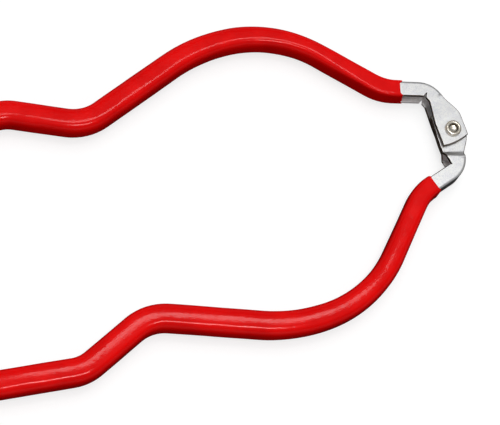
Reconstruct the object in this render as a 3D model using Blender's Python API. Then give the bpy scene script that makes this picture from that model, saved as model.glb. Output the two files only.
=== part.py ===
"""Hinged jar gripper: two pressed steel channel arms on one tubular rivet, each with a dipped vinyl coat.

The tool lies flat. +X runs along its middle line towards the hinge, +Z is up along the rivet, and the
origin is below the middle of the whole tool, on the surface that it lies on. The jaws are drawn closed on a
screw band 88 mm across, which is the rest position of the hinge.

The arms are drawn about the tool's middle line, y = 0, with z = 0 midway up the channel. A side of +1 puts
the arm's back towards +Y, and a side of -1 mirrors it. The rivet stands a little off that line.
"""

import math

import bmesh
import bpy
from mathutils import Vector

MM = 0.001

# Clearance between neighbouring pieces
GAP = 0.3 * MM

# Distances along an arm that differ by less are the same place
SAME_PLACE = 0.001 * MM

# Steel channel
SHEET = 1.1 * MM
CHANNEL_HALF_HEIGHT = 3.45 * MM
INNER_BEND = 0.4 * MM
OUTER_BEND = 0.8 * MM
NECK_DEPTH = 5.15 * MM
HANDLE_DEPTH = 5.95 * MM

# The channel reaches its full depth at this part of the arm's length
DEPTH_GROWTH = 0.45

# The arm's back, as straight runs with a bend radius at each corner: (x, y, radius)
ARM_CORNERS = (
    (0.95 * MM, 12.1 * MM, 0.0),
    (-0.7 * MM, 16.5 * MM, 9.3 * MM),
    (-15.8 * MM, 21.2 * MM, 14.0 * MM),
    (-43.9 * MM, 51.5 * MM, 43.5 * MM),
    (-73.7 * MM, 52.5 * MM, 57.0 * MM),
    (-115.8 * MM, 36.5 * MM, 12.4 * MM),
    (-139.6 * MM, 47.2 * MM, 16.0 * MM),
    (-212.0 * MM, 38.5 * MM, 0.0),
)
NECK_CORNER = 1
NECK_END = 14.6 * MM
BEND_STEP = math.radians(9.0)

# Relief notch where the flanges turn the neck's corner, and the inner arm's flare from there to its ears
OUTER_NOTCH_DEPTH = 1.4 * MM
INNER_NOTCH_DEPTH = 0.3 * MM
NOTCH_HALF_ANGLE = math.radians(6.0)
INNER_FLARE = 1.2 * MM

# Ears: the flat ends of the flanges, on both sides of the hinge
EAR_FRONT_X = 5.0 * MM
EAR_BACK_X = -4.5 * MM
EAR_FRONT_END_Y = -4.0 * MM
EAR_BACK_END_Y = -5.7 * MM
EAR_BACK_START_Y = 10.8 * MM
EAR_FULL_WIDTH_Y = 3.0 * MM
EAR_STEPS = (0.05, 0.18, 0.31, 0.43, 0.55, 0.67, 0.83, 1.0)
EAR_ACROSS = (0.0, 0.2, 0.55, 1.0)
EAR_END_BULGE = 0.6 * MM
EAR_BULGE_START = 0.66

# Share of the flare by which an ear's back edge starts sooner
FLARE_LEAD = 0.5
INNER_EAR_TOP = 0.5 * GAP + SHEET
OUTER_EAR_TOP = INNER_EAR_TOP + GAP + SHEET

# Joggles that bring the flanges down to the ears, as parts of the way from the web's end to the ears' end
JOGGLE_START = 0.05
INNER_JOGGLE_END = 0.18
OUTER_JOGGLE_END = 0.55

# Vinyl coat: how far it stands out from the steel above and below, and at the sides where it is thickest
COAT_OFFSET = 1.05 * MM
OUTER_COAT_SPREAD = 1.3 * MM
INNER_COAT_SPREAD = 1.45 * MM

# Where each coat starts, and how far it stands out there
OUTER_COAT_START = 14.6 * MM
OUTER_START_OFFSET = 0.7 * MM
INNER_COAT_START = 15.4 * MM
INNER_START_OFFSET = 0.85 * MM

# Lengths of arm over which the coat reaches its full offset and its full spread
OFFSET_GROWTH = 30.0 * MM
SPREAD_GROWTH = 95.0 * MM

# The coat's corner radius as a multiple of the skin's thickness
CORNER_SHARE = 2.3
COAT_CORNER_STEPS = 3

# The coat's round end beyond the steel: parts of its length, and the parts of the full offset that are left there
COAT_END_LENGTH = 1.6 * MM
COAT_END = ((0.6, 0.75), (1.0, 0.35))
CUTTER_LEAD = 1.2 * MM

# Hinge rivet
RIVET_PLACE = Vector((0.6 * MM, -0.9 * MM, 0.0))
SHANK_RADIUS = 1.85 * MM
RIM_RADIUS = 2.75 * MM
RIM_HEIGHT = 0.95 * MM
SHOULDER_HEIGHT = 0.52 * MM
CREST_RADIUS = 2.1 * MM
BORE_TOP_RADIUS = 1.6 * MM
BORE_RADIUS = 1.15 * MM
BORE_DEPTH = 1.45 * MM
BORE_MOUTH_DEPTH = 0.58 * MM
ROUND_STEPS = 24

SHARP_ANGLE = math.radians(35.0)


def clear_scene():
    for item in list(bpy.data.objects):
        bpy.data.objects.remove(item, do_unlink=True)


def make_material(name, color, roughness, metallic):
    material = bpy.data.materials.new(name)
    material.use_nodes = True
    shader = material.node_tree.nodes["Principled BSDF"]
    shader.inputs["Base Color"].default_value = (*color, 1.0)
    shader.inputs["Roughness"].default_value = roughness
    shader.inputs["Metallic"].default_value = metallic
    return material


def mix(start, end, part):
    return start + (end - start) * part


def smooth(part):
    part = min(max(part, 0.0), 1.0)
    return part * part * (3.0 - 2.0 * part)


def turned(direction, angle):
    cosine = math.cos(angle)
    sine = math.sin(angle)
    return Vector((cosine * direction.x - sine * direction.y, sine * direction.x + cosine * direction.y))


class ArmPath:
    """The arm's back in plan: straight runs joined by bends, measured by the distance from the web's end."""

    def __init__(self, corners):
        self.pieces = []
        self.marks = [0.0]
        self.neck_middle = 0.0
        points = [Vector((x, y)) for x, y, _ in corners]
        here = points[0]
        for index in range(1, len(points)):
            heading = (points[index] - points[index - 1]).normalized()
            if index == len(points) - 1:
                self.add_straight(here, heading, (points[index] - here).length)
                break
            leaving = (points[index + 1] - points[index]).normalized()
            turn = math.atan2(heading.x * leaving.y - heading.y * leaving.x, heading.dot(leaving))
            radius = corners[index][2]
            setback = radius * math.tan(abs(turn) / 2.0)
            bend_start = points[index] - heading * setback
            self.add_straight(here, heading, (bend_start - here).length)
            if index == NECK_CORNER:
                self.neck_middle = self.marks[-1] + radius * abs(turn) / 2.0
            self.add_bend(bend_start, heading, radius, turn)
            here = points[index] + leaving * setback
        self.length = self.marks[-1]

    def add_straight(self, start, heading, length):
        self.pieces.append(("straight", self.marks[-1], start, heading, length, 0.0))
        self.marks.append(self.marks[-1] + length)

    def add_bend(self, start, heading, radius, turn):
        begin = self.marks[-1]
        self.pieces.append(("bend", begin, start, heading, radius, turn))
        count = math.ceil(abs(turn) / BEND_STEP)
        for step in range(1, count + 1):
            self.marks.append(begin + radius * abs(turn) * step / count)

    def at(self, distance):
        """The point, the outward normal and the angle to the nearer end of the bend, at a distance."""
        piece = self.pieces[0]
        for candidate in self.pieces:
            if candidate[1] <= distance + SAME_PLACE:
                piece = candidate
        kind, begin, start, heading, size, turn = piece
        travel = distance - begin
        if kind == "straight":
            return start + heading * travel, Vector((heading.y, -heading.x)), 0.0
        swing = math.copysign(travel / size, turn)
        left = Vector((-heading.y, heading.x)) * math.copysign(1.0, turn)
        centre = start + left * size
        point = centre + turned(start - centre, swing)
        now = turned(heading, swing)
        return point, Vector((now.y, -now.x)), min(abs(swing), abs(turn) - abs(swing))

    def stations(self, start, end, extra=()):
        inside = [mark for mark in (*self.marks, *extra) if start + SAME_PLACE < mark < end - SAME_PLACE]
        return [start, *sorted(set(inside)), end]


def depth_at(path, distance):
    """The channel grows deeper from the neck to the handle."""
    return mix(NECK_DEPTH, HANDLE_DEPTH, smooth(distance / (DEPTH_GROWTH * path.length)))


def flange_depth(path, distance, notch_depth, flare):
    """Around the neck the flange's free edge turns a mitred corner, notched or flared towards the ear."""
    depth = depth_at(path, distance)
    radius = ARM_CORNERS[NECK_CORNER][2]
    angle = path.at(distance)[2]
    if distance < NECK_END and angle > 0.0:
        depth = radius - (radius - depth) / math.cos(angle)
    depth += flare * max(0.0, 1.0 - distance / path.neck_middle)
    if abs(distance - path.neck_middle) < SAME_PLACE:
        depth -= notch_depth
    return depth


def bend_points(centre_n, centre_z, radius, steps):
    """A quarter round from facing outward to facing up."""
    points = []
    for step in range(steps + 1):
        angle = 0.5 * math.pi * step / steps
        points.append((centre_n + radius * math.cos(angle), centre_z + radius * math.sin(angle)))
    return points


def half_channel(depth, grow=0.0):
    """Upper half of the channel's section as (outward, up), from the web's back over the flange to its inside."""
    top = CHANNEL_HALF_HEIGHT + grow
    sheet = SHEET + 2.0 * grow
    outer = OUTER_BEND + grow
    inner = SHEET + INNER_BEND
    back = bend_points(grow - outer, top - outer, outer, 2)
    inside = bend_points(-inner, CHANNEL_HALF_HEIGHT - inner, INNER_BEND - grow, 2)
    tip = [(-depth - grow, top), (-depth - grow, top - sheet)]
    return back + tip + inside[::-1]


def whole_channel(depth, grow=0.0):
    upper = half_channel(depth, grow)
    lower = [(outward, -up) for outward, up in reversed(upper)]
    return upper + lower


def coat_section(depth, offset, spread):
    """Rounded rectangle around the channel as (outward, up), squarer where the skin is thin."""
    half_height = CHANNEL_HALF_HEIGHT + offset
    half_width = 0.5 * depth + spread
    radius = CORNER_SHARE * abs(offset - GAP)
    quarter = bend_points(half_width - radius, half_height - radius, radius, COAT_CORNER_STEPS)
    upper = quarter + [(-outward, up) for outward, up in reversed(quarter)]
    lower = [(outward, -up) for outward, up in reversed(upper)]
    return [(outward - 0.5 * depth, up) for outward, up in upper + lower]


def add_ring(mesh, path, distance, section, side):
    point, normal, _ = path.at(distance)
    ring = []
    for outward, up in section:
        place = point + normal * outward
        ring.append(mesh.verts.new((place.x, side * place.y, up)))
    return ring


def bridge(mesh, first, second):
    for index in range(len(first)):
        after = (index + 1) % len(first)
        mesh.faces.new((first[index], first[after], second[after], second[index]))


def cap_half(mesh, ring):
    """Closes a half section, whose back and inside points face each other in pairs."""
    last = len(ring) - 1
    for index in range(len(ring) // 2 - 1):
        mesh.faces.new((ring[index], ring[index + 1], ring[last - index - 1], ring[last - index]))


def finish_object(name, mesh, material, parent, place):
    bmesh.ops.recalc_face_normals(mesh, faces=mesh.faces)
    data = bpy.data.meshes.new(name)
    mesh.to_mesh(data)
    mesh.free()
    data.shade_smooth()
    data.set_sharp_from_angle(angle=SHARP_ANGLE)
    item = bpy.data.objects.new(name, data)
    bpy.context.scene.collection.objects.link(item)
    if material:
        data.materials.append(material)
    item.parent = parent
    item.location = place
    return item


def ear_line(step, flare):
    """The front and back ends of a line across the ears, from the web's end (0) to the ears' end (1).

    A flared neck carries on past the web's end, and the ears' back edge tapers it away towards their end.
    """
    web_end_x, web_end_y, _ = ARM_CORNERS[0]
    front_y = mix(web_end_y, EAR_FRONT_END_Y, step)
    back_y = mix(EAR_BACK_START_Y - FLARE_LEAD * flare, EAR_BACK_END_Y, step)
    widening = smooth((web_end_y - front_y) / (web_end_y - EAR_FULL_WIDTH_Y))
    front_x = mix(web_end_x, EAR_FRONT_X, widening)
    back_x = mix(web_end_x - NECK_DEPTH + GAP - flare, EAR_BACK_X - flare * (1.0 - step), widening)
    return Vector((front_x, front_y)), Vector((back_x, back_y))


def ear_level(step, ear_top, joggle_end):
    drop = smooth((step - JOGGLE_START) / (joggle_end - JOGGLE_START))
    return mix(CHANNEL_HALF_HEIGHT, ear_top, drop)


def ear_ring(mesh, step, top, flare, side, above):
    """One section of an ear: its upper points from front to back, then its lower points from back to front."""
    front, back = ear_line(step, flare)
    bulge = EAR_END_BULGE * smooth((step - EAR_BULGE_START) / (1.0 - EAR_BULGE_START))
    places = []
    for across in EAR_ACROSS:
        place = front.lerp(back, across)
        place.y -= bulge * 4.0 * across * (1.0 - across)
        places.append(place)
    levels = [(place, top) for place in places]
    levels += [(place, top - SHEET) for place in reversed(places)]
    return [mesh.verts.new((place.x, side * place.y, above * level)) for place, level in levels]


def add_ears(mesh, web_ring, ear_top, joggle_end, flare, side):
    """Carries each flange on past the web's end as a flat ear, and closes the web between them."""
    half = len(web_ring) // 2
    starts = ((web_ring[:half], 1.0), (web_ring[half:][::-1], -1.0))
    for ring, above in starts:
        for step in EAR_STEPS:
            following = ear_ring(mesh, step, ear_level(step, ear_top, joggle_end), flare, side, above)
            bridge(mesh, ring, following)
            ring = following
        cap_half(mesh, ring)
    mesh.faces.new((web_ring[0], web_ring[half - 1], web_ring[half], web_ring[-1]))


def make_arm(name, path, side, ear_top, joggle_end, notch_depth, flare, material, parent):
    """One pressing: a channel with its open side towards the jar, and an ear at the end of each flange."""
    mesh = bmesh.new()
    notch_half = ARM_CORNERS[NECK_CORNER][2] * NOTCH_HALF_ANGLE
    notch = [path.neck_middle + notch_half * way for way in (-1.0, 0.0, 1.0)]
    rings = []
    for distance in path.stations(0.0, path.length, notch):
        section = whole_channel(flange_depth(path, distance, notch_depth, flare))
        rings.append(add_ring(mesh, path, distance, section, side))
    for first, second in zip(rings, rings[1:]):
        bridge(mesh, first, second)
    half = len(rings[0]) // 2
    end = rings[-1]
    cap_half(mesh, end[:half])
    cap_half(mesh, end[half:][::-1])
    mesh.faces.new((end[0], end[half - 1], end[half], end[-1]))
    add_ears(mesh, rings[0], ear_top, joggle_end, flare, side)
    return finish_object(name, mesh, material, parent, -RIVET_PLACE)


def make_coat(name, path, side, start, start_offset, full_spread, material, parent):
    """A closed skin of vinyl, thickening from just past the neck, to beyond the end of the steel."""
    mesh = bmesh.new()
    profile = []
    for distance in path.stations(start, path.length):
        offset = mix(start_offset, COAT_OFFSET, smooth((distance - start) / OFFSET_GROWTH))
        spread = mix(start_offset, full_spread, smooth((distance - start) / SPREAD_GROWTH))
        profile.append((distance, offset, spread))
    for part, left in COAT_END:
        profile.append((path.length + part * COAT_END_LENGTH, left * COAT_OFFSET, left * full_spread))
    rings = []
    for distance, offset, spread in profile:
        section = coat_section(depth_at(path, distance), offset, spread)
        rings.append(add_ring(mesh, path, distance, section, side))
    for first, second in zip(rings, rings[1:]):
        bridge(mesh, first, second)
    mesh.faces.new(rings[0])
    mesh.faces.new(rings[-1])
    return finish_object(name, mesh, material, parent, -RIVET_PLACE)


def make_channel_cutter(name, path, side, start, parent):
    """The channel's own shape with clearance all round, open at the coat's start."""
    mesh = bmesh.new()
    rings = []
    for distance in path.stations(start - CUTTER_LEAD, path.length + GAP):
        section = whole_channel(depth_at(path, distance), GAP)
        rings.append(add_ring(mesh, path, distance, section, side))
    for first, second in zip(rings, rings[1:]):
        bridge(mesh, first, second)
    half = len(rings[0]) // 2
    for end in (rings[0], rings[-1]):
        cap_half(mesh, end[:half])
        cap_half(mesh, end[half:][::-1])
        mesh.faces.new((end[0], end[half - 1], end[half], end[-1]))
    return as_cutter(finish_object(name, mesh, None, parent, -RIVET_PLACE))


def as_cutter(item):
    item.hide_render = True
    item.display_type = "WIRE"
    return item


def cut(item, cutter):
    modifier = item.modifiers.new("cut by " + cutter.name, "BOOLEAN")
    modifier.operation = "DIFFERENCE"
    modifier.solver = "EXACT"
    modifier.object = cutter


def lathe(name, profile, material, parent):
    """Turns a closed (radius, height) profile whose first and last points lie on the axis."""
    mesh = bmesh.new()
    rings = []
    for radius, height in profile[1:-1]:
        ring = []
        for step in range(ROUND_STEPS):
            angle = 2.0 * math.pi * step / ROUND_STEPS
            ring.append(mesh.verts.new((radius * math.cos(angle), radius * math.sin(angle), height)))
        rings.append(ring)
    for first, second in zip(rings, rings[1:]):
        bridge(mesh, first, second)
    for ring, (_, height) in ((rings[0], profile[0]), (rings[-1], profile[-1])):
        centre = mesh.verts.new((0.0, 0.0, height))
        for step in range(ROUND_STEPS):
            mesh.faces.new((centre, ring[step], ring[(step + 1) % ROUND_STEPS]))
    return finish_object(name, mesh, material, parent, Vector())


def make_rivet(material, parent):
    """A tubular rivet: a low head below, a shank through the four ears, and a rolled rim above."""
    seat = OUTER_EAR_TOP + GAP
    crown = seat + RIM_HEIGHT
    shoulder = seat + SHOULDER_HEIGHT
    profile = (
        (0.0, -crown),
        (CREST_RADIUS, -crown),
        (RIM_RADIUS, -shoulder),
        (RIM_RADIUS, -seat),
        (SHANK_RADIUS, -seat),
        (SHANK_RADIUS, seat),
        (RIM_RADIUS, seat),
        (RIM_RADIUS, shoulder),
        (CREST_RADIUS, crown),
        (BORE_TOP_RADIUS, crown - BORE_MOUTH_DEPTH),
        (BORE_RADIUS, crown - BORE_DEPTH),
        (0.0, crown - BORE_DEPTH),
    )
    return lathe("hinge_rivet", profile, material, parent)


def make_rivet_hole(parent):
    reach = 2.0 * CHANNEL_HALF_HEIGHT
    radius = SHANK_RADIUS + GAP
    profile = ((0.0, -reach), (radius, -reach), (radius, reach), (0.0, reach))
    return as_cutter(lathe("rivet_hole_cutter", profile, None, parent))


def place_hinge(hinge, pieces):
    """Puts the hinge so that the whole tool is centred over the origin and lies on z = 0."""
    corners = [vertex.co + piece.location for piece in pieces for vertex in piece.data.vertices]
    low = [min(corner[axis] for corner in corners) for axis in range(3)]
    high = [max(corner[axis] for corner in corners) for axis in range(3)]
    hinge.location = (-0.5 * (low[0] + high[0]), -0.5 * (low[1] + high[1]), -low[2])


def main():
    clear_scene()
    steel = make_material("plated_steel", (0.78, 0.79, 0.80), 0.30, 1.0)
    vinyl = make_material("red_vinyl", (0.68, 0.002, 0.001), 0.15, 0.0)
    nickel = make_material("rivet_nickel", (0.90, 0.84, 0.74), 0.25, 1.0)
    hinge = bpy.data.objects.new("hinge_axis", None)
    bpy.context.scene.collection.objects.link(hinge)
    path = ArmPath(ARM_CORNERS)
    hole = make_rivet_hole(hinge)
    pieces = [make_rivet(nickel, hinge)]
    outer = (OUTER_EAR_TOP, OUTER_JOGGLE_END, OUTER_NOTCH_DEPTH, 0.0)
    inner = (INNER_EAR_TOP, INNER_JOGGLE_END, INNER_NOTCH_DEPTH, INNER_FLARE)
    outer_coat = (OUTER_COAT_START, OUTER_START_OFFSET, OUTER_COAT_SPREAD)
    inner_coat = (INNER_COAT_START, INNER_START_OFFSET, INNER_COAT_SPREAD)
    arms = (("outer_arm", 1.0, outer, outer_coat), ("inner_arm", -1.0, inner, inner_coat))
    for name, side, neck, skin in arms:
        arm = make_arm(name, path, side, *neck, steel, hinge)
        cut(arm, hole)
        coat = make_coat(name + "_coat", path, side, *skin, vinyl, hinge)
        cut(coat, make_channel_cutter(name + "_coat_cutter", path, side, skin[0], hinge))
        pieces += [arm, coat]
    place_hinge(hinge, pieces)


main()
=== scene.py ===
"""Looks of the hinged jar gripper: plated steel channel arms, dipped vinyl coats and a tubular rivet.

The arms are drawn in metres about the tool's middle line, y = 0, with z = 0 midway up the channel. They are
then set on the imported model's rivet, which stands at RIVET_PLACE in these drawings.
"""

import math
from types import SimpleNamespace

import bmesh
import bpy
from mathutils import Matrix, Vector, kdtree, noise


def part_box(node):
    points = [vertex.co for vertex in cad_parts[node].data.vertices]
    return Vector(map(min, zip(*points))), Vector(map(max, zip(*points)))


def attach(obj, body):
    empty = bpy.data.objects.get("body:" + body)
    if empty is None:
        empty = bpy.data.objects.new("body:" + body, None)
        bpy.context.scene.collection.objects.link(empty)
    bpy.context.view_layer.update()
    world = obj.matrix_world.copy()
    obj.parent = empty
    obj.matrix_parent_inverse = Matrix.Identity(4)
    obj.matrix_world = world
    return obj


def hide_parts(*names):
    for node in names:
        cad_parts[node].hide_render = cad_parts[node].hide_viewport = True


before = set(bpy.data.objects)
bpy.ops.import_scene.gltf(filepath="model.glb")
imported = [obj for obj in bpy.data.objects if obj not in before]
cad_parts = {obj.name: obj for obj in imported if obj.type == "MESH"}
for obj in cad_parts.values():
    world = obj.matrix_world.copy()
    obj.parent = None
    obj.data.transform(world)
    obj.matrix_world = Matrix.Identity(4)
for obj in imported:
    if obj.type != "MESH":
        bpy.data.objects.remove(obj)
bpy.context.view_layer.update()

MM = 0.001

rivet_low, rivet_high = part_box("hinge_rivet")
HINGE = 0.5 * (rivet_low + rivet_high)

# Steel channel
SHEET = 1.1 * MM
HALF_HEIGHT = 3.45 * MM
INNER_BEND = 0.4 * MM
OUTER_BEND = 0.8 * MM
NECK_DEPTH = 5.15 * MM
HANDLE_DEPTH = 5.95 * MM
DEPTH_GROWTH = 0.45
EDGE_ROUND = 0.22 * MM
EDGE_SUPPORT = 0.12 * MM
BEND_STEPS = 7
EDGE_STEPS = 3
NECK_SPACING = 0.45 * MM
ARM_SPACING = 1.6 * MM
STEEL_CREASE = math.radians(42.0)

# Faces along a half section, from the web's back over the flange: the sheared edge, then the inside
EDGE_START = BEND_STEPS + 3
INSIDE_START = EDGE_START + 2 * EDGE_STEPS + 1

# An arm's materials, by their place in its list
SHEET_LOOK = 0
EDGE_AND_SHADE_LOOK = 1
INSIDE_LOOK = 2

# The arm's back, as straight runs with a bend radius at each corner: (x, y, radius)
ARM_CORNERS = (
    (0.95 * MM, 12.1 * MM, 0.0),
    (-0.7 * MM, 16.5 * MM, 9.3 * MM),
    (-15.8 * MM, 21.2 * MM, 14.0 * MM),
    (-43.9 * MM, 51.5 * MM, 43.5 * MM),
    (-73.7 * MM, 52.5 * MM, 57.0 * MM),
    (-115.8 * MM, 36.5 * MM, 12.4 * MM),
    (-139.6 * MM, 47.2 * MM, 16.0 * MM),
    (-212.0 * MM, 38.5 * MM, 0.0),
)
NECK_CORNER = 1
NECK_END = 14.6 * MM
NOTCH_HALF_ANGLE = math.radians(6.0)
NOTCH_MARKS = (-1.0, -0.5, 0.0, 0.5, 1.0)

# Ears: the flat ends of the flanges around the rivet. A section has as many points as half a channel's.
EAR_FRONT_X = 5.0 * MM
EAR_BACK_X = -4.5 * MM
EAR_FRONT_END_Y = -4.0 * MM
EAR_BACK_END_Y = -5.7 * MM
EAR_BACK_START_Y = 10.8 * MM
EAR_FULL_WIDTH_Y = 3.0 * MM
EAR_END_BULGE = 0.6 * MM
EAR_GAP = 0.3 * MM
INNER_EAR_TOP = 0.5 * EAR_GAP + SHEET
OUTER_EAR_TOP = INNER_EAR_TOP + EAR_GAP + SHEET
EAR_LENGTH = 16.3 * MM
EAR_BULGE_START = 0.66
FLARE_LEAD = 0.5
EAR_RINGS = 56
EAR_SHARES = (0.0, 0.2, 0.4, 0.6, 0.8, 1.0)
EAR_LEAD = (0.25, 0.5, 0.75)
JOGGLE_START = 0.05
JOGGLE_BEND = 0.22

# Vinyl coat
COAT_OFFSET = 1.02 * MM
OFFSET_GROWTH = 30.0 * MM
SPREAD_GROWTH = 95.0 * MM
COAT_POINTS = 72
COAT_SPACING = 1.1 * MM
COAT_SQUARENESS = 3.2
COAT_TIGHTNESS = 7.0
LIP_OFFSET = 0.36 * MM
LIP_LENGTH = 0.6 * MM
LIP_STEPS = 7
LIP_SQUEEZES = (0.35, 0.7)
DROOP_ANGLE = math.radians(205.0)
DROOP_WIDTH = math.radians(36.0)
EDGE_DRIFT = 0.25 * MM
END_REACH = 1.5 * MM
END_ROUND = 2.3 * MM
END_INSET = 0.15 * MM
END_FALL = 0.85 * END_ROUND
END_STEPS = 9
END_SQUEEZES = ((0.7, 0.07 * MM), (0.35, 0.12 * MM))
COAT_CREASE = math.radians(50.0)
CUTTER_CLEARANCE = 0.03 * MM
CUTTER_LEAD = 3.0 * MM

# The dipped skin's unevenness: long waves and fine ripples, by their length along the arm and their height
WAVE_LENGTH = 9.0 * MM
WAVE_HEIGHT = 0.05 * MM
WAVE_TURNS = 1.3
RIPPLE_LENGTH = 2.5 * MM
RIPPLE_HEIGHT = 0.008 * MM
RIPPLE_TURNS = 3.0
SKIN_INSET = 0.045 * MM

# Rivet
RIVET_PLACE = Vector((0.6, -0.9, 0.0)) * MM
SHANK_RADIUS = 1.85 * MM
HOLE_RADIUS = 1.92 * MM
RIM_RADIUS = 2.7 * MM
ROLL_RADIUS = 0.62 * MM
BORE_RADIUS = 1.25 * MM
BORE_FLOOR_Z = 2.5 * MM
BORE_DISH = 0.22 * MM
RIVET_TOP_Z = 3.9 * MM
RIVET_SEAT_Z = 2.68 * MM
DOME_EDGE = 0.22 * MM
DOME_SPREAD = 0.8
DOME_RISE = 0.7
DOME_STEPS = 8
DOME_FOOT = 0.1 * MM
DOME_FOOT_INSET = 0.12 * MM
ROLL_START = -62.0
ROLL_TURN = 222.0
ROLL_STEPS = 16
THROAT_STEPS = 6
DISH_STEPS = 6
RIVET_CREASE = math.radians(50.0)
ROUND_STEPS = 96

# The two arms. A side of +1 puts the arm's back towards +Y. The outer arm's ears are the outermost ones.
ARMS = (
    SimpleNamespace(
        label="outer",
        side=1.0,
        ear_top=OUTER_EAR_TOP,
        joggle_end=0.55,
        notch_depth=1.4 * MM,
        flare=0.0,
        coat_start=14.6 * MM,
        start_offset=0.45 * MM,
        full_spread=1.27 * MM,
        wave=0.45 * MM,
        droop=1.3 * MM,
        seed=1.7,
    ),
    SimpleNamespace(
        label="inner",
        side=-1.0,
        ear_top=INNER_EAR_TOP,
        joggle_end=0.18,
        notch_depth=0.3 * MM,
        flare=1.2 * MM,
        coat_start=15.4 * MM,
        start_offset=0.85 * MM,
        full_spread=1.42 * MM,
        wave=0.12 * MM,
        droop=0.0,
        seed=5.2,
    ),
)

# Stage
FLOOR_GLOW = 0.74
FLOOR_RADIUS = 2.0
BOWL_RADIUS = 3.0
BOWL_HEIGHT = 1.6
BOWL_STEPS = 12

# Camera
CAMERA_AIM = Vector((31.75, -8.01, 0.0)) * MM
CAMERA_AZIMUTH = math.radians(-133.27)
CAMERA_ELEVATION = math.radians(68.86)
CAMERA_ROLL = math.radians(25.84)
CAMERA_DISTANCE = 605.6 * MM
CAMERA_LENS = 134.6
SENSOR_WIDTH = 36.0
VIEW_GAMMA = 0.88

# Light. The sky's levels are pairs of the sine of the elevation and the brightness there.
LIGHT_DISTANCE = 0.9
PICTURE_AZIMUTH = math.radians(-17.42)
SKY_LEVELS = (
    (-1.0, 0.01),
    (-0.6, 0.01),
    (-0.3, 0.08),
    (-0.08, 0.28),
    (0.1, 0.42),
    (0.4, 0.42),
    (0.7, 0.17),
    (0.95, 0.58),
)

# Search step for the place along an arm, and slack for comparing distances
MEASURE_SPACING = 0.5 * MM
SLACK = 1e-9


# ---------------------------------------------------------------- shapes


def mix(start, end, part):
    return start + (end - start) * part


def smooth(part):
    part = min(max(part, 0.0), 1.0)
    return part * part * (3.0 - 2.0 * part)


def turned(direction, angle):
    cosine = math.cos(angle)
    sine = math.sin(angle)
    return Vector((cosine * direction.x - sine * direction.y, sine * direction.x + cosine * direction.y))


class ArmPath:
    """The arm's back in plan: straight runs joined by bends, measured by the distance from the web's end."""

    def __init__(self, corners):
        self.pieces = []
        self.length = 0.0
        self.neck_middle = 0.0
        points = [Vector((x, y)) for x, y, _ in corners]
        here = points[0]
        for index in range(1, len(points)):
            heading = (points[index] - points[index - 1]).normalized()
            if index == len(points) - 1:
                self.add_straight(here, heading, (points[index] - here).length)
                break
            leaving = (points[index + 1] - points[index]).normalized()
            turn = math.atan2(heading.x * leaving.y - heading.y * leaving.x, heading.dot(leaving))
            radius = corners[index][2]
            setback = radius * math.tan(abs(turn) / 2.0)
            bend_start = points[index] - heading * setback
            self.add_straight(here, heading, (bend_start - here).length)
            if index == NECK_CORNER:
                self.neck_middle = self.length + radius * abs(turn) / 2.0
            self.pieces.append(("bend", self.length, bend_start, heading, radius, turn))
            self.length += radius * abs(turn)
            here = points[index] + leaving * setback

    def add_straight(self, start, heading, length):
        self.pieces.append(("straight", self.length, start, heading, length, 0.0))
        self.length += length

    def at(self, distance):
        """The point, the outward normal and the angle to the nearer end of the bend, at a distance."""
        piece = self.pieces[0]
        for candidate in self.pieces:
            if candidate[1] <= distance + SLACK:
                piece = candidate
        kind, begin, start, heading, size, turn = piece
        travel = distance - begin
        if kind == "straight":
            return start + heading * travel, Vector((heading.y, -heading.x)), 0.0
        swing = math.copysign(travel / size, turn)
        left = Vector((-heading.y, heading.x)) * math.copysign(1.0, turn)
        centre = start + left * size
        now = turned(heading, swing)
        point = centre + turned(start - centre, swing)
        return point, Vector((now.y, -now.x)), min(abs(swing), abs(turn) - abs(swing))


PATH = ArmPath(ARM_CORNERS)


def spaced(start, end, spacing, extra=()):
    count = math.ceil((end - start) / spacing)
    marks = [mix(start, end, step / count) for step in range(count + 1)]
    marks += [mark for mark in extra if start < mark < end]
    return sorted(marks)


def depth_at(distance):
    """The channel grows deeper from the neck to the handle."""
    return mix(NECK_DEPTH, HANDLE_DEPTH, smooth(distance / (DEPTH_GROWTH * PATH.length)))


def flange_depth(distance, arm):
    """Around the neck the flange's free edge turns a mitred corner, notched or flared towards the ear."""
    depth = depth_at(distance)
    radius = ARM_CORNERS[NECK_CORNER][2]
    angle = PATH.at(distance)[2]
    if distance < NECK_END and angle > 0.0:
        depth = radius - (radius - depth) / math.cos(angle)
    from_middle = abs(distance - PATH.neck_middle) / (radius * NOTCH_HALF_ANGLE)
    depth += arm.flare * max(0.0, 1.0 - distance / PATH.neck_middle)
    return depth - arm.notch_depth * max(0.0, 1.0 - from_middle)


def quarter(centre_x, centre_z, radius, start_angle, steps):
    """A quarter circle, anticlockwise from start_angle in degrees."""
    points = []
    for step in range(steps + 1):
        angle = math.radians(start_angle + 90.0 * step / steps)
        points.append((centre_x + radius * math.cos(angle), centre_z + radius * math.sin(angle)))
    return points


def half_channel(depth, grow=0.0):
    """The channel's upper half as (outward, up), from the web's back over the flange to the inside."""
    top = HALF_HEIGHT + grow
    sheet = SHEET + 2.0 * grow
    outer = OUTER_BEND + grow
    inner = SHEET + INNER_BEND
    back = quarter(grow - outer, top - outer, outer, 0.0, BEND_STEPS)
    inside = quarter(-inner, HALF_HEIGHT - inner, INNER_BEND - grow, 0.0, BEND_STEPS)
    tip_x = EDGE_ROUND - depth - grow
    tip = quarter(tip_x, top - EDGE_ROUND, EDGE_ROUND, 90.0, EDGE_STEPS)
    tip += quarter(tip_x, top - sheet + EDGE_ROUND, EDGE_ROUND, 180.0, EDGE_STEPS)
    above = [(grow - outer - EDGE_SUPPORT, top), (tip_x + EDGE_SUPPORT, top)]
    below = [(tip_x + EDGE_SUPPORT, top - sheet), (-inner - EDGE_SUPPORT, top - sheet)]
    return back + above + tip + below + inside[::-1]


def whole_channel(depth, grow=0.0):
    upper = half_channel(depth, grow)
    return upper + [(outward, -up) for outward, up in reversed(upper)]


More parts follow.
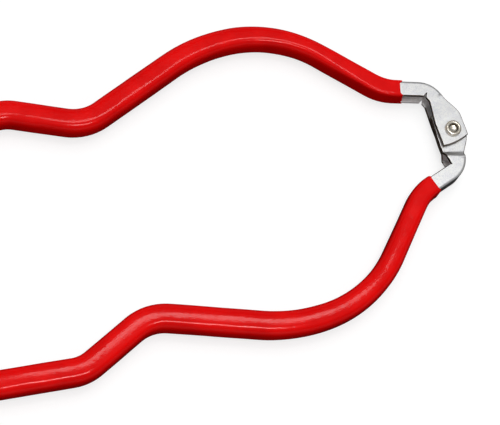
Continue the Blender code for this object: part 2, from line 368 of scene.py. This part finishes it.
def place_on_path(distance, outward, up, side):
    point, normal, _ = PATH.at(distance)
    place = point + normal * outward
    return Vector((place.x, side * place.y, up))


def add_ring(mesh, distance, section, side):
    return [mesh.verts.new(place_on_path(distance, outward, up, side)) for outward, up in section]


def bridge(mesh, first, second, material_of=None):
    for index in range(len(first)):
        after = (index + 1) % len(first)
        face = mesh.faces.new((first[index], first[after], second[after], second[index]))
        if material_of:
            face.material_index = material_of(index)


def bridge_all(mesh, rings, material_of=None):
    for first, second in zip(rings, rings[1:]):
        bridge(mesh, first, second, material_of)


def close_end(mesh, ring, centre):
    tip = mesh.verts.new(centre)
    for index in range(len(ring)):
        mesh.faces.new((tip, ring[index], ring[(index + 1) % len(ring)]))


def cap_half(mesh, ring, material_index=0):
    """Closes a half section, whose outer and inner points face each other in pairs."""
    last = len(ring) - 1
    for index in range(len(ring) // 2 - 1):
        face = mesh.faces.new((ring[index], ring[index + 1], ring[last - index - 1], ring[last - index]))
        face.material_index = material_index


def cap_web(mesh, ring, material_index=0):
    """Closes a whole section's web, between its upper and lower halves."""
    half = len(ring) // 2
    face = mesh.faces.new((ring[0], ring[half - 1], ring[half], ring[-1]))
    face.material_index = material_index


def cap_channel(mesh, ring, material_index=0):
    half = len(ring) // 2
    cap_half(mesh, ring[:half], material_index)
    cap_half(mesh, ring[half:][::-1], material_index)
    cap_web(mesh, ring, material_index)


def round_ring(mesh, radius, height, axis=Vector()):
    """A level ring of points about an upright axis."""
    ring = []
    for step in range(ROUND_STEPS):
        angle = 2.0 * math.pi * step / ROUND_STEPS
        reach = Vector((radius * math.cos(angle), radius * math.sin(angle), height))
        ring.append(mesh.verts.new(axis + reach))
    return ring


def finish_mesh(name, mesh, materials):
    bmesh.ops.recalc_face_normals(mesh, faces=mesh.faces)
    data = bpy.data.meshes.new(name)
    mesh.to_mesh(data)
    mesh.free()
    item = bpy.data.objects.new(name, data)
    bpy.context.scene.collection.objects.link(item)
    for material in materials:
        data.materials.append(material)
    return item


def cut_away(item, cutter):
    """Cuts the cutter out of the item for good, and removes the cutter."""
    modifier = item.modifiers.new("cut", "BOOLEAN")
    modifier.operation = "DIFFERENCE"
    modifier.solver = "EXACT"
    modifier.object = cutter
    evaluated = item.evaluated_get(bpy.context.evaluated_depsgraph_get())
    data = bpy.data.meshes.new_from_object(evaluated)
    item.modifiers.clear()
    item.data = data
    bpy.data.objects.remove(cutter, do_unlink=True)


def shade(item, crease):
    item.data.shade_smooth()
    item.data.set_sharp_from_angle(angle=crease)


def measure_arm(item, side):
    """Stores at each point its distance along the arm, its outward place and its height, in millimetres."""
    spots = spaced(0.0, PATH.length, MEASURE_SPACING)
    tree = kdtree.KDTree(len(spots))
    for index, distance in enumerate(spots):
        point = PATH.at(distance)[0]
        tree.insert((point.x, point.y, 0.0), index)
    tree.balance()
    places = item.data.attributes.new("arm_place", "FLOAT_VECTOR", "POINT")
    for index, vertex in enumerate(item.data.vertices):
        flat = Vector((vertex.co.x, side * vertex.co.y))
        distance = spots[tree.find((flat.x, flat.y, 0.0))[1]]
        point, normal, _ = PATH.at(distance)
        along = Vector((-normal.y, normal.x)).dot(flat - point)
        outward = normal.dot(flat - point)
        places.data[index].vector = Vector((distance + along, outward, vertex.co.z)) / MM


# ---------------------------------------------------------------- steel arms


def ear_line(step, flare):
    """The front and back ends of one line across the ears, from the web's end (0) to the ears' end (1)."""
    web_end_x, web_end_y, _ = ARM_CORNERS[0]
    front_y = mix(web_end_y, EAR_FRONT_END_Y, step)
    back_y = mix(EAR_BACK_START_Y - FLARE_LEAD * flare, EAR_BACK_END_Y, step)
    widening = smooth((web_end_y - front_y) / (web_end_y - EAR_FULL_WIDTH_Y))
    front_x = mix(web_end_x, EAR_FRONT_X, widening)
    back_x = mix(web_end_x - NECK_DEPTH + EAR_GAP - flare, EAR_BACK_X - flare * (1.0 - step), widening)
    return Vector((front_x, front_y)), Vector((back_x, back_y))


def ear_ring(arm, step, top, above, shrink=0.0):
    """A section of an ear: its upper points from front to back, then the lower ones from back to front."""
    front, back = ear_line(step, arm.flare)
    across = back - front
    width = across.length
    bulge = EAR_END_BULGE * smooth((step - EAR_BULGE_START) / (1.0 - EAR_BULGE_START))
    upper = []
    for turn in range(EDGE_STEPS + 1):
        angle = 0.5 * math.pi * turn / EDGE_STEPS
        inset = (EDGE_ROUND + shrink) - EDGE_ROUND * math.cos(angle)
        upper.append((inset, EDGE_ROUND * (1.0 - math.sin(angle)) + shrink))
    support = EDGE_ROUND + shrink + EDGE_SUPPORT
    for share in EAR_SHARES:
        upper.append((mix(support, width - support, share), shrink))
    for turn in range(EDGE_STEPS + 1):
        angle = 0.5 * math.pi * turn / EDGE_STEPS
        inset = (EDGE_ROUND + shrink) - EDGE_ROUND * math.sin(angle)
        upper.append((width - inset, EDGE_ROUND * (1.0 - math.cos(angle)) + shrink))
    ring = []
    for lower in (False, True):
        for inset, fall in (reversed(upper) if lower else upper):
            share = inset / width
            place = front + across * share
            place.y -= bulge * 4.0 * share * (1.0 - share)
            level = top - SHEET + fall if lower else top - fall
            ring.append(Vector((place.x, arm.side * place.y, above * level)))
    return ring


def ear_level(arm, step):
    """The joggle is a straight slope with a short bend at each end."""
    part = min(max((step - JOGGLE_START) / (arm.joggle_end - JOGGLE_START), 0.0), 1.0)
    nearer = min(part, 1.0 - part)
    if nearer < JOGGLE_BEND:
        nearer = 0.5 * nearer * nearer / JOGGLE_BEND
    else:
        nearer -= 0.5 * JOGGLE_BEND
    share = nearer / (1.0 - JOGGLE_BEND)
    return mix(HALF_HEIGHT, arm.ear_top, share if part < 0.5 else 1.0 - share)


def add_ears(mesh, web_ring, arm):
    """Carries each flange on past the web's end as a flat ear, and closes the web between them."""
    half = len(web_ring) // 2
    rounding = EDGE_ROUND / EAR_LENGTH

    def ear_look(index):
        front = index < EDGE_STEPS or index >= half - 1 - EDGE_STEPS
        return EDGE_AND_SHADE_LOOK if front or EDGE_START <= index < INSIDE_START else SHEET_LOOK

    def end_look(index):
        return EDGE_AND_SHADE_LOOK

    def carry_on(ring, places, look_of):
        following = [mesh.verts.new(place) for place in places]
        bridge(mesh, ring, following, look_of)
        return following

    for ring, above in ((web_ring[:half], 1.0), (web_ring[half:][::-1], -1.0)):
        flange = [vert.co.copy() for vert in ring]
        flat = ear_ring(arm, JOGGLE_START, ear_level(arm, JOGGLE_START), above)
        for part in EAR_LEAD:
            ring = carry_on(ring, [a.lerp(b, part) for a, b in zip(flange, flat)], ear_look)
        for count in range(EAR_RINGS + 1):
            step = mix(JOGGLE_START, 1.0 - rounding, count / EAR_RINGS)
            ring = carry_on(ring, ear_ring(arm, step, ear_level(arm, step), above), ear_look)
        for count in range(1, EDGE_STEPS + 1):
            angle = 0.5 * math.pi * count / EDGE_STEPS
            step = 1.0 - rounding * (1.0 - math.sin(angle))
            shrink = EDGE_ROUND * (1.0 - math.cos(angle))
            ring = carry_on(ring, ear_ring(arm, step, arm.ear_top, above, shrink), end_look)
        cap_half(mesh, ring, EDGE_AND_SHADE_LOOK)
    cap_web(mesh, web_ring, EDGE_AND_SHADE_LOOK)


def make_arm(arm, materials):
    """One pressing: a channel with its open side towards the jar, and an ear at the end of each flange."""
    mesh = bmesh.new()
    notch_half = ARM_CORNERS[NECK_CORNER][2] * NOTCH_HALF_ANGLE
    notch = [PATH.neck_middle + notch_half * way for way in NOTCH_MARKS]
    marks = spaced(0.0, NECK_END, NECK_SPACING, notch) + spaced(NECK_END, PATH.length, ARM_SPACING)[1:]
    rings = [add_ring(mesh, mark, whole_channel(flange_depth(mark, arm)), arm.side) for mark in marks]
    half = len(rings[0]) // 2

    def channel_look(index):
        lower = index >= half
        if lower:
            index = 2 * half - 2 - index
        # Only the upper flange's sheared edge takes the dark edge look with its painted shade; the lower
        # flange's edge takes the pale inside look.
        if EDGE_START <= index < INSIDE_START:
            return INSIDE_LOOK if lower else EDGE_AND_SHADE_LOOK
        return INSIDE_LOOK if index >= INSIDE_START else SHEET_LOOK

    bridge_all(mesh, rings, channel_look)
    cap_channel(mesh, rings[-1], EDGE_AND_SHADE_LOOK)
    add_ears(mesh, rings[0], arm)
    steel = finish_mesh(arm.label + "_arm_steel", mesh, materials)
    reach = 2.0 * HALF_HEIGHT
    hole = ((0.0, -reach), (HOLE_RADIUS, -reach), (HOLE_RADIUS, reach), (0.0, reach))
    cut_away(steel, lathe("hole_cutter", hole, [], RIVET_PLACE))
    shade(steel, STEEL_CREASE)
    measure_arm(steel, arm.side)
    return steel


# ---------------------------------------------------------------- vinyl coats


def coat_point(angle, depth, offset, spread, seed, distance, squareness):
    """A point of the coat's rounded section as (outward, up), a little uneven as dipped vinyl is."""
    cosine = math.cos(angle)
    sine = math.sin(angle)
    wave_place = (distance / WAVE_LENGTH, WAVE_TURNS * cosine, WAVE_TURNS * sine + seed)
    ripple_place = (distance / RIPPLE_LENGTH, RIPPLE_TURNS * cosine + seed, RIPPLE_TURNS * sine)
    unevenness = WAVE_HEIGHT * noise.noise(Vector(wave_place)) - SKIN_INSET
    unevenness += RIPPLE_HEIGHT * noise.noise(Vector(ripple_place))
    power = 2.0 / squareness
    outward = (0.5 * depth + spread + unevenness) * math.copysign(abs(cosine) ** power, cosine)
    up = (HALF_HEIGHT + offset + unevenness) * math.copysign(abs(sine) ** power, sine)
    return outward - 0.5 * depth, up


def coat_edge(arm, angle):
    """Where the dipped edge lies along the arm.

    It comes forward at the section's corners, stays back on its flats and runs on at the channel's mouth.
    """
    drift = noise.noise(Vector((1.5 * math.cos(angle), 1.5 * math.sin(angle), 7.0 * arm.seed)))
    run = arm.droop * math.exp(-((angle - DROOP_ANGLE) / DROOP_WIDTH) ** 2)
    return arm.coat_start + arm.wave * math.cos(4.0 * angle) - run + EDGE_DRIFT * drift


def coat_ring(mesh, arm, distance_of, offset, spread, squeeze=1.0, squareness=COAT_SQUARENESS):
    """A ring of the coat, whose place along the arm is a function of the angle around the section."""
    ring = []
    for step in range(COAT_POINTS):
        angle = 2.0 * math.pi * step / COAT_POINTS
        distance = distance_of(angle)
        depth = depth_at(distance)
        outward, up = coat_point(angle, depth, offset, spread, arm.seed, distance, squareness)
        middle = -0.5 * depth
        outward = middle + (outward - middle) * squeeze
        ring.append(mesh.verts.new(place_on_path(distance, outward, up * squeeze, arm.side)))
    return ring


def squareness_at(offset):
    """A thin skin follows the channel's corners more closely than a thick one."""
    return COAT_SQUARENESS + COAT_TIGHTNESS * (COAT_OFFSET - offset) / COAT_OFFSET


def lip_rings(mesh, arm):
    """The rounded lip at the neck, from inside the skin outwards."""

    def lip_ring(reach, offset, squeeze=1.0):
        def place_at(angle):
            return coat_edge(arm, angle) + reach

        return coat_ring(mesh, arm, place_at, offset, offset, squeeze, squareness_at(offset))

    rings = [lip_ring(0.0, LIP_OFFSET, squeeze) for squeeze in LIP_SQUEEZES]
    for step in range(LIP_STEPS + 1):
        angle = 0.5 * math.pi * step / LIP_STEPS
        offset = mix(LIP_OFFSET, arm.start_offset, math.sin(angle))
        rings.append(lip_ring(LIP_LENGTH * (1.0 - math.cos(angle)), offset))
    return rings


def body_rings(mesh, arm, start, end):
    """The long even body, which thickens from the neck on."""
    rings = []
    for distance in spaced(start, end, COAT_SPACING):
        offset = mix(arm.start_offset, COAT_OFFSET, smooth((distance - start) / OFFSET_GROWTH))
        spread = mix(arm.start_offset, arm.full_spread, smooth((distance - start) / SPREAD_GROWTH))
        squareness = squareness_at(offset)
        rings.append(coat_ring(mesh, arm, lambda angle: distance, offset, spread, 1.0, squareness))
    return rings


def end_rings(mesh, arm, start):
    """The rounded end of the handle."""
    rings = []

    def add_end_ring(distance, fall, squeeze=1.0):
        offset = COAT_OFFSET - fall
        rings.append(coat_ring(mesh, arm, lambda angle: distance, offset, arm.full_spread - fall, squeeze))

    for step in range(1, END_STEPS + 1):
        angle = 0.5 * math.pi * step / END_STEPS
        add_end_ring(start + (END_ROUND - END_INSET) * math.sin(angle), END_FALL * (1.0 - math.cos(angle)))
    for squeeze, rise in END_SQUEEZES:
        add_end_ring(start + END_ROUND - (END_INSET - rise), END_FALL, squeeze)
    return rings


def make_coat(arm, materials):
    """The dipped skin: a rounded lip at the neck, one long even body and a rounded end."""
    mesh = bmesh.new()
    body_start = arm.coat_start + LIP_LENGTH + arm.wave + COAT_SPACING
    body_end = PATH.length + END_REACH - END_ROUND
    rings = lip_rings(mesh, arm)
    rings += body_rings(mesh, arm, body_start, body_end)
    rings += end_rings(mesh, arm, body_end)
    bridge_all(mesh, rings)
    near = arm.coat_start - arm.wave - 0.5 * arm.droop
    far = body_end + END_ROUND
    for ring, distance in ((rings[0], near), (rings[-1], far)):
        close_end(mesh, ring, place_on_path(distance, -0.5 * depth_at(distance), 0.0, arm.side))
    coat = finish_mesh(arm.label + "_arm_vinyl", mesh, materials)
    cut_away(coat, make_channel_cutter(arm))
    shade(coat, COAT_CREASE)
    measure_arm(coat, arm.side)
    return coat


def make_channel_cutter(arm):
    """The channel's own shape, a little larger, which the coat is hollowed by."""
    mesh = bmesh.new()
    rings = []
    for mark in spaced(arm.coat_start - CUTTER_LEAD, PATH.length + CUTTER_CLEARANCE, ARM_SPACING):
        section = whole_channel(depth_at(mark), CUTTER_CLEARANCE)
        rings.append(add_ring(mesh, mark, section, arm.side))
    bridge_all(mesh, rings)
    for end in (rings[0], rings[-1]):
        cap_channel(mesh, end)
    return finish_mesh("channel_cutter", mesh, [])


# ---------------------------------------------------------------- rivet


def lathe(name, profile, materials, axis=Vector()):
    """Turns a (radius, height) profile whose first and last points lie on the axis."""
    mesh = bmesh.new()
    rings = [round_ring(mesh, radius, height, axis) for radius, height in profile[1:-1]]
    bridge_all(mesh, rings)
    for ring, (_, height) in ((rings[0], profile[0]), (rings[-1], profile[-1])):
        close_end(mesh, ring, axis + Vector((0.0, 0.0, height)))
    return finish_mesh(name, mesh, materials)


def make_rivet(name, materials):
    """A tubular rivet: a low domed head below, a shank through the four ears, and a rolled rim above."""
    head = []
    for step in range(1, DOME_STEPS + 1):
        angle = 0.5 * math.pi * step / DOME_STEPS
        radius = RIM_RADIUS * math.sin(angle) ** DOME_SPREAD
        height = mix(-RIVET_SEAT_Z - DOME_EDGE, -RIVET_TOP_Z, math.cos(angle) ** DOME_RISE)
        head.append((radius, height))
    roll_x = RIM_RADIUS - ROLL_RADIUS
    roll_z = RIVET_TOP_Z - ROLL_RADIUS
    roll = []
    for step in range(ROLL_STEPS + 1):
        angle = math.radians(ROLL_START + ROLL_TURN * step / ROLL_STEPS)
        roll.append((roll_x + ROLL_RADIUS * math.cos(angle), roll_z + ROLL_RADIUS * math.sin(angle)))
    throat = []
    for step in range(1, THROAT_STEPS + 1):
        part = step / THROAT_STEPS
        height = mix(roll[-1][1], BORE_FLOOR_Z + BORE_DISH, part)
        throat.append((mix(roll[-1][0], BORE_RADIUS, smooth(part)), height))
    dish = []
    for step in range(1, DISH_STEPS):
        part = 1.0 - step / DISH_STEPS
        dish.append((BORE_RADIUS * part, BORE_FLOOR_Z + BORE_DISH * part * part))
    profile = [(0.0, -RIVET_TOP_Z)] + head
    profile += [(RIM_RADIUS, -RIVET_SEAT_Z - DOME_FOOT), (RIM_RADIUS - DOME_FOOT_INSET, -RIVET_SEAT_Z)]
    profile += [(SHANK_RADIUS, -RIVET_SEAT_Z), (SHANK_RADIUS, RIVET_SEAT_Z)]
    profile += roll + throat + dish + [(0.0, BORE_FLOOR_Z)]
    rivet = lathe(name, profile, materials)
    shade(rivet, RIVET_CREASE)
    return rivet


# ---------------------------------------------------------------- materials


class Finish:
    """A Principled material and short ways to add nodes to it.

    A value may be a number, a colour or a socket.
    """

    def __init__(self, name, metallic):
        self.material = bpy.data.materials.new(name)
        self.material.use_nodes = True
        self.tree = self.material.node_tree
        self.shader = self.tree.nodes["Principled BSDF"]
        self.shader.inputs["Metallic"].default_value = metallic

    def feed(self, socket, value):
        if isinstance(value, bpy.types.NodeSocket):
            self.tree.links.new(value, socket)
        else:
            socket.default_value = value

    def add(self, kind, inputs, **settings):
        node = self.tree.nodes.new(kind)
        for key, value in settings.items():
            setattr(node, key, value)
        for key, value in inputs.items():
            self.feed(node.inputs[key], value)
        return node

    def place(self, stretch=(1.0, 1.0, 1.0)):
        """The point's own place in millimetres, stretched along the piece's axes."""
        here = self.add("ShaderNodeTexCoord", {}).outputs["Object"]
        factors = tuple(share / MM for share in stretch)
        return self.add("ShaderNodeVectorMath", {0: here, 1: factors}, operation="MULTIPLY").outputs[0]

    def arm_place(self, stretch=(1.0, 1.0, 1.0)):
        """Distance along the arm, outward place and height in millimetres, stretched."""
        here = self.add("ShaderNodeAttribute", {}, attribute_name="arm_place").outputs["Vector"]
        return self.add("ShaderNodeVectorMath", {0: here, 1: stretch}, operation="MULTIPLY").outputs[0]

    def noise(self, vector, scale, detail=3.0, roughness=0.5):
        inputs = {"Vector": vector, "Scale": scale, "Detail": detail, "Roughness": roughness}
        return self.add("ShaderNodeTexNoise", inputs).outputs["Fac"]

    def ramp(self, factor, low, high, low_value=0.0, high_value=1.0):
        inputs = {"Value": factor, "From Min": low, "From Max": high}
        inputs.update({"To Min": low_value, "To Max": high_value})
        node = self.add("ShaderNodeMapRange", inputs, interpolation_type="SMOOTHSTEP")
        return node.outputs["Result"]

    def blend(self, factor, first, second):
        node = self.add("ShaderNodeMix", {}, data_type="RGBA")
        self.feed(node.inputs["Factor"], factor)
        self.feed(node.inputs[6], first)
        self.feed(node.inputs[7], second)
        return node.outputs[2]

    def plus(self, first, second):
        return self.add("ShaderNodeMath", {0: first, 1: second}, operation="ADD").outputs[0]

    def times(self, first, second):
        return self.add("ShaderNodeMath", {0: first, 1: second}, operation="MULTIPLY").outputs[0]

    def bump(self, height, distance, normal=None):
        inputs = {"Height": height, "Distance": distance, "Strength": 1.0}
        if normal:
            inputs["Normal"] = normal
        return self.add("ShaderNodeBump", inputs).outputs["Normal"]

    def finish(self, color, roughness, normal):
        self.feed(self.shader.inputs["Base Color"], color)
        self.feed(self.shader.inputs["Roughness"], roughness)
        self.feed(self.shader.inputs["Normal"], normal)
        return self.material


def rgb(red, green, blue):
    return (red, green, blue, 1.0)


def vinyl_material():
    """Glossy dipped vinyl: slightly cloudy red, orange-peel skin and faint rubbed marks."""
    look = Finish("glossy_red_vinyl", 0.0)
    here = look.place()
    cloud = look.noise(here, 0.11, 4.0)
    color = look.blend(look.ramp(cloud, 0.35, 0.65), rgb(0.64, 0.0006, 0.0006), rgb(0.72, 0.0010, 0.0006))
    grain = look.noise(here, 2.6, 4.0, 0.6)
    color = look.blend(look.ramp(grain, 0.60, 0.78, 0.0, 0.30), color, rgb(0.50, 0.0005, 0.001))
    specks = look.noise(here, 5.5, 2.0)
    color = look.blend(look.ramp(specks, 0.73, 0.80, 0.0, 0.5), color, rgb(0.24, 0.001, 0.002))
    streaks = look.noise(look.arm_place((0.10, 1.6, 1.6)), 1.0, 4.0, 0.6)
    scuffs = look.ramp(streaks, 0.62, 0.74)
    rough = look.plus(look.ramp(cloud, 0.3, 0.7, 0.09, 0.14), look.times(scuffs, 0.08))
    peel = look.noise(here, 0.75, 2.0)
    fine = look.noise(here, 4.0, 3.0)
    normal = look.bump(fine, 0.003 * MM, look.bump(peel, 0.03 * MM))
    look.shader.inputs["IOR"].default_value = 1.32
    return look.finish(color, rough, normal)


def steel_material():
    """Bright plated sheet: faint cloudy tints, rolling marks along the arm, fine scratches."""
    look = Finish("plated_sheet", 1.0)
    here = look.place()
    cloud = look.noise(here, 0.5, 5.0, 0.6)
    color = look.blend(look.ramp(cloud, 0.36, 0.64), rgb(0.92, 0.92, 0.93), rgb(1.0, 1.0, 0.98))
    tint = look.noise(here, 1.1, 3.0)
    color = look.blend(look.ramp(tint, 0.55, 0.75, 0.0, 0.4), color, rgb(0.90, 0.86, 0.82))
    grain = look.noise(here, 3.4, 3.0, 0.6)
    color = look.blend(look.ramp(grain, 0.48, 0.66, 0.0, 0.55), color, rgb(0.66, 0.69, 0.75))
    rolling = look.noise(look.arm_place((0.22, 7.0, 7.0)), 1.0, 4.0, 0.6)
    turned_place = look.add("ShaderNodeMapping", {"Vector": here, "Rotation": (0.0, 0.0, 0.6)}).outputs[0]
    long_marks = {0: turned_place, 1: (0.25, 5.0, 5.0)}
    scratch_place = look.add("ShaderNodeVectorMath", long_marks, operation="MULTIPLY").outputs[0]
    scratches = look.ramp(look.noise(scratch_place, 1.0, 2.0), 0.68, 0.74)
    color = look.blend(look.times(scratches, 0.3), color, rgb(0.60, 0.60, 0.62))
    rough = look.ramp(cloud, 0.3, 0.7, 0.34, 0.40)
    rough = look.plus(rough, look.ramp(rolling, 0.45, 0.8, 0.0, 0.08))
    peel = look.noise(here, 0.9, 3.0)
    normal = look.bump(peel, 0.012 * MM)
    normal = look.bump(rolling, 0.003 * MM, normal)
    return look.finish(color, rough, normal)


def cut_edge_and_shade_material():
    """The sheared edge of the sheet: duller bare steel, darkened further by painted shade and a painted dark
    reflection, with fine marks across its thickness.
    """
    look = Finish("sheared_edge_and_shade", 1.0)
    marks = look.noise(look.arm_place((6.0, 1.5, 0.7)), 1.0, 3.0)
    # Painted shade: the edge is coloured dark brown, darker than bare steel, to stand for shade and a dark
    # reflection.
    color = look.blend(look.ramp(marks, 0.35, 0.65), rgb(0.09, 0.07, 0.05), rgb(0.30, 0.24, 0.20))
    rough = look.ramp(marks, 0.3, 0.7, 0.30, 0.42)
    return look.finish(color, rough, look.bump(marks, 0.02 * MM))


def inside_material():
    """The channel's inside, where the plating is thin and dull."""
    look = Finish("dull_inside", 0.25)
    cloud = look.noise(look.place(), 0.7, 4.0, 0.6)
    color = look.blend(look.ramp(cloud, 0.35, 0.65), rgb(0.80, 0.78, 0.77), rgb(0.92, 0.92, 0.92))
    return look.finish(color, look.ramp(cloud, 0.3, 0.7, 0.45, 0.60), look.bump(cloud, 0.02 * MM))


def rivet_material():
    """Nickel-plated rivet: warm, with turned rings and a duller bore whose wall is darkened by painted
    shade.
    """
    look = Finish("nickel_rivet", 1.0)
    here = look.place()
    flat = look.add("ShaderNodeVectorMath", {0: here, 1: (1.0, 1.0, 0.0)}, operation="MULTIPLY").outputs[0]
    radius = look.add("ShaderNodeVectorMath", {0: flat}, operation="LENGTH").outputs["Value"]
    height = look.add("ShaderNodeSeparateXYZ", {0: here}).outputs["Z"]
    turn_place = look.add("ShaderNodeCombineXYZ", {"X": radius, "Z": height}).outputs[0]
    rings = look.noise(turn_place, 7.0, 3.0)
    cloud = look.noise(here, 0.9, 4.0)
    color = look.blend(look.ramp(cloud, 0.35, 0.65), rgb(0.97, 0.89, 0.76), rgb(1.0, 0.96, 0.88))
    # Painted shade: the bore's wall is coloured dark brown to stand for the shade inside the hollow.
    bore_wall_shade = look.times(look.ramp(radius, 1.1, 1.3), look.ramp(radius, 1.5, 1.65, 1.0, 0.0))
    bore_wall_shade = look.times(bore_wall_shade, look.ramp(height, 0.0, 2.0))
    color = look.blend(look.times(bore_wall_shade, 0.85), color, rgb(0.13, 0.09, 0.05))
    rough = look.plus(look.ramp(rings, 0.3, 0.7, 0.22, 0.32), look.times(bore_wall_shade, 0.10))
    normal = look.bump(rings, 0.012 * MM, look.bump(cloud, 0.04 * MM))
    return look.finish(color, rough, normal)


def floor_material():
    """A dull pale floor that glows by itself, so that it stays white in the picture."""
    look = Finish("pale_floor", 0.0)
    here = look.place()
    cloud = look.noise(here, 0.004, 3.0)
    color = look.blend(cloud, rgb(0.27, 0.27, 0.27), rgb(0.30, 0.30, 0.30))
    look.shader.inputs["Specular IOR Level"].default_value = 0.1
    look.shader.inputs["Emission Color"].default_value = rgb(1.0, 1.0, 1.0)
    look.shader.inputs["Emission Strength"].default_value = FLOOR_GLOW
    return look.finish(color, look.ramp(cloud, 0.3, 0.7, 0.7, 0.8), look.bump(cloud, 0.01 * MM))


# ---------------------------------------------------------------- stage, light and camera


def make_stage():
    """A pale floor that curves up far away. It isn't mirrored in shiny surfaces and lights nothing."""
    curve_radius = BOWL_RADIUS - FLOOR_RADIUS
    curve = quarter(FLOOR_RADIUS, curve_radius, curve_radius, 270.0, BOWL_STEPS)
    profile = [(0.5 * FLOOR_RADIUS, 0.0), (FLOOR_RADIUS, 0.0)] + curve[1:] + [(BOWL_RADIUS, BOWL_HEIGHT)]
    mesh = bmesh.new()
    rings = [round_ring(mesh, radius, height) for radius, height in profile]
    for first, second in zip(rings, rings[1:]):
        bridge(mesh, second, first)
    close_end(mesh, rings[0], (0.0, 0.0, 0.0))
    floor = finish_mesh("pale_floor", mesh, [floor_material()])
    floor.data.shade_smooth()
    floor.visible_glossy = False
    floor.visible_diffuse = False


def direction(azimuth, elevation):
    level = math.cos(elevation)
    return Vector((level * math.cos(azimuth), level * math.sin(azimuth), math.sin(elevation)))


def looking(back, roll):
    """A rotation whose local Z is the back direction, level and then rolled."""
    level = Vector((0.0, 0.0, 1.0)).cross(back).normalized()
    rise = back.cross(level)
    right = level * math.cos(roll) + rise * math.sin(roll)
    up = back.cross(right)
    return Matrix((right, up, back)).transposed().to_quaternion()


def make_camera():
    data = bpy.data.cameras.new("camera")
    data.lens = CAMERA_LENS
    data.sensor_width = SENSOR_WIDTH
    camera = bpy.data.objects.new("camera", data)
    bpy.context.scene.collection.objects.link(camera)
    back = direction(CAMERA_AZIMUTH, CAMERA_ELEVATION)
    camera.location = CAMERA_AIM + back * CAMERA_DISTANCE
    camera.rotation_mode = "QUATERNION"
    camera.rotation_quaternion = looking(back, CAMERA_ROLL)
    bpy.context.scene.camera = camera


def place_light(name, data, azimuth, elevation):
    """Sets a light at an azimuth and elevation in degrees, its long side along the picture's lower edge."""
    light = bpy.data.objects.new(name, data)
    bpy.context.scene.collection.objects.link(light)
    back = direction(math.radians(azimuth), math.radians(elevation))
    along = direction(PICTURE_AZIMUTH, 0.0)
    right = (along - back * along.dot(back)).normalized()
    light.location = back * LIGHT_DISTANCE
    light.rotation_mode = "QUATERNION"
    light.rotation_quaternion = Matrix((right, back.cross(right), back)).transposed().to_quaternion()
    light.visible_camera = False
    return light


def panel_light(name, azimuth, elevation, size, brightness):
    """A rectangular panel facing the origin, of a given brightness per area."""
    data = bpy.data.lights.new(name, "AREA")
    data.shape = "RECTANGLE"
    data.size = size[0]
    data.size_y = size[1]
    data.energy = brightness * math.pi * size[0] * size[1]
    return place_light(name, data, azimuth, elevation)


def fill_light(name, azimuth, elevation, spread, strength):
    """Wide soft light that brightens dull surfaces and isn't mirrored in shiny ones."""
    data = bpy.data.lights.new(name, "SUN")
    data.angle = math.radians(spread)
    data.energy = strength * math.pi
    light = place_light(name, data, azimuth, elevation)
    light.visible_glossy = False
    return light


def make_lights():
    panel_light("overhead_panel", azimuth=43.6, elevation=73.5, size=(0.30, 0.10), brightness=7.2)
    panel_light("front_panel", azimuth=-70.4, elevation=77.0, size=(0.20, 0.07), brightness=24.0)
    fill_light("far_key", azimuth=72.6, elevation=60.0, spread=60.0, strength=0.48)
    fill_light("near_fill", azimuth=-107.4, elevation=20.0, spread=60.0, strength=0.29)


def make_world():
    """Soft light from straight above and from around the horizon, dimmer between them, dark below."""
    world = bpy.data.worlds.new("studio")
    world.use_nodes = True
    bpy.context.scene.world = world
    tree = world.node_tree
    background = tree.nodes["Background"]
    place = tree.nodes.new("ShaderNodeTexCoord")
    split = tree.nodes.new("ShaderNodeSeparateXYZ")
    share = tree.nodes.new("ShaderNodeMapRange")
    share.inputs["From Min"].default_value = -1.0
    ramp = tree.nodes.new("ShaderNodeValToRGB")
    tree.links.new(place.outputs["Generated"], split.inputs[0])
    tree.links.new(split.outputs["Z"], share.inputs["Value"])
    tree.links.new(share.outputs["Result"], ramp.inputs["Fac"])
    tree.links.new(ramp.outputs["Color"], background.inputs["Color"])
    stops = ramp.color_ramp.elements
    for _ in range(len(SKY_LEVELS) - len(stops)):
        stops.new(0.5)
    for stop, (height, level) in zip(stops, SKY_LEVELS):
        stop.position = 0.5 + 0.5 * height
        stop.color = rgb(level, level, level)


# ---------------------------------------------------------------- assembly


def install(item, place, body, node):
    """Sets a finished piece in its place, instead of its plain node."""
    item.location = place
    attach(item, body)
    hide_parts(node)


def main():
    make_camera()
    make_stage()
    make_lights()
    make_world()
    bpy.context.scene.view_settings.view_transform = "Standard"
    bpy.context.scene.view_settings.gamma = VIEW_GAMMA
    steel = [steel_material(), cut_edge_and_shade_material(), inside_material()]
    vinyl = [vinyl_material()]
    place = HINGE - RIVET_PLACE
    for arm in ARMS:
        body = arm.label + "_half"
        install(make_arm(arm, steel), place, body, arm.label + "_arm")
        install(make_coat(arm, vinyl), place, body, arm.label + "_arm_coat")
    rivet = make_rivet("rolled_rivet", [rivet_material()])
    install(rivet, HINGE, "outer_half", "hinge_rivet")


main()
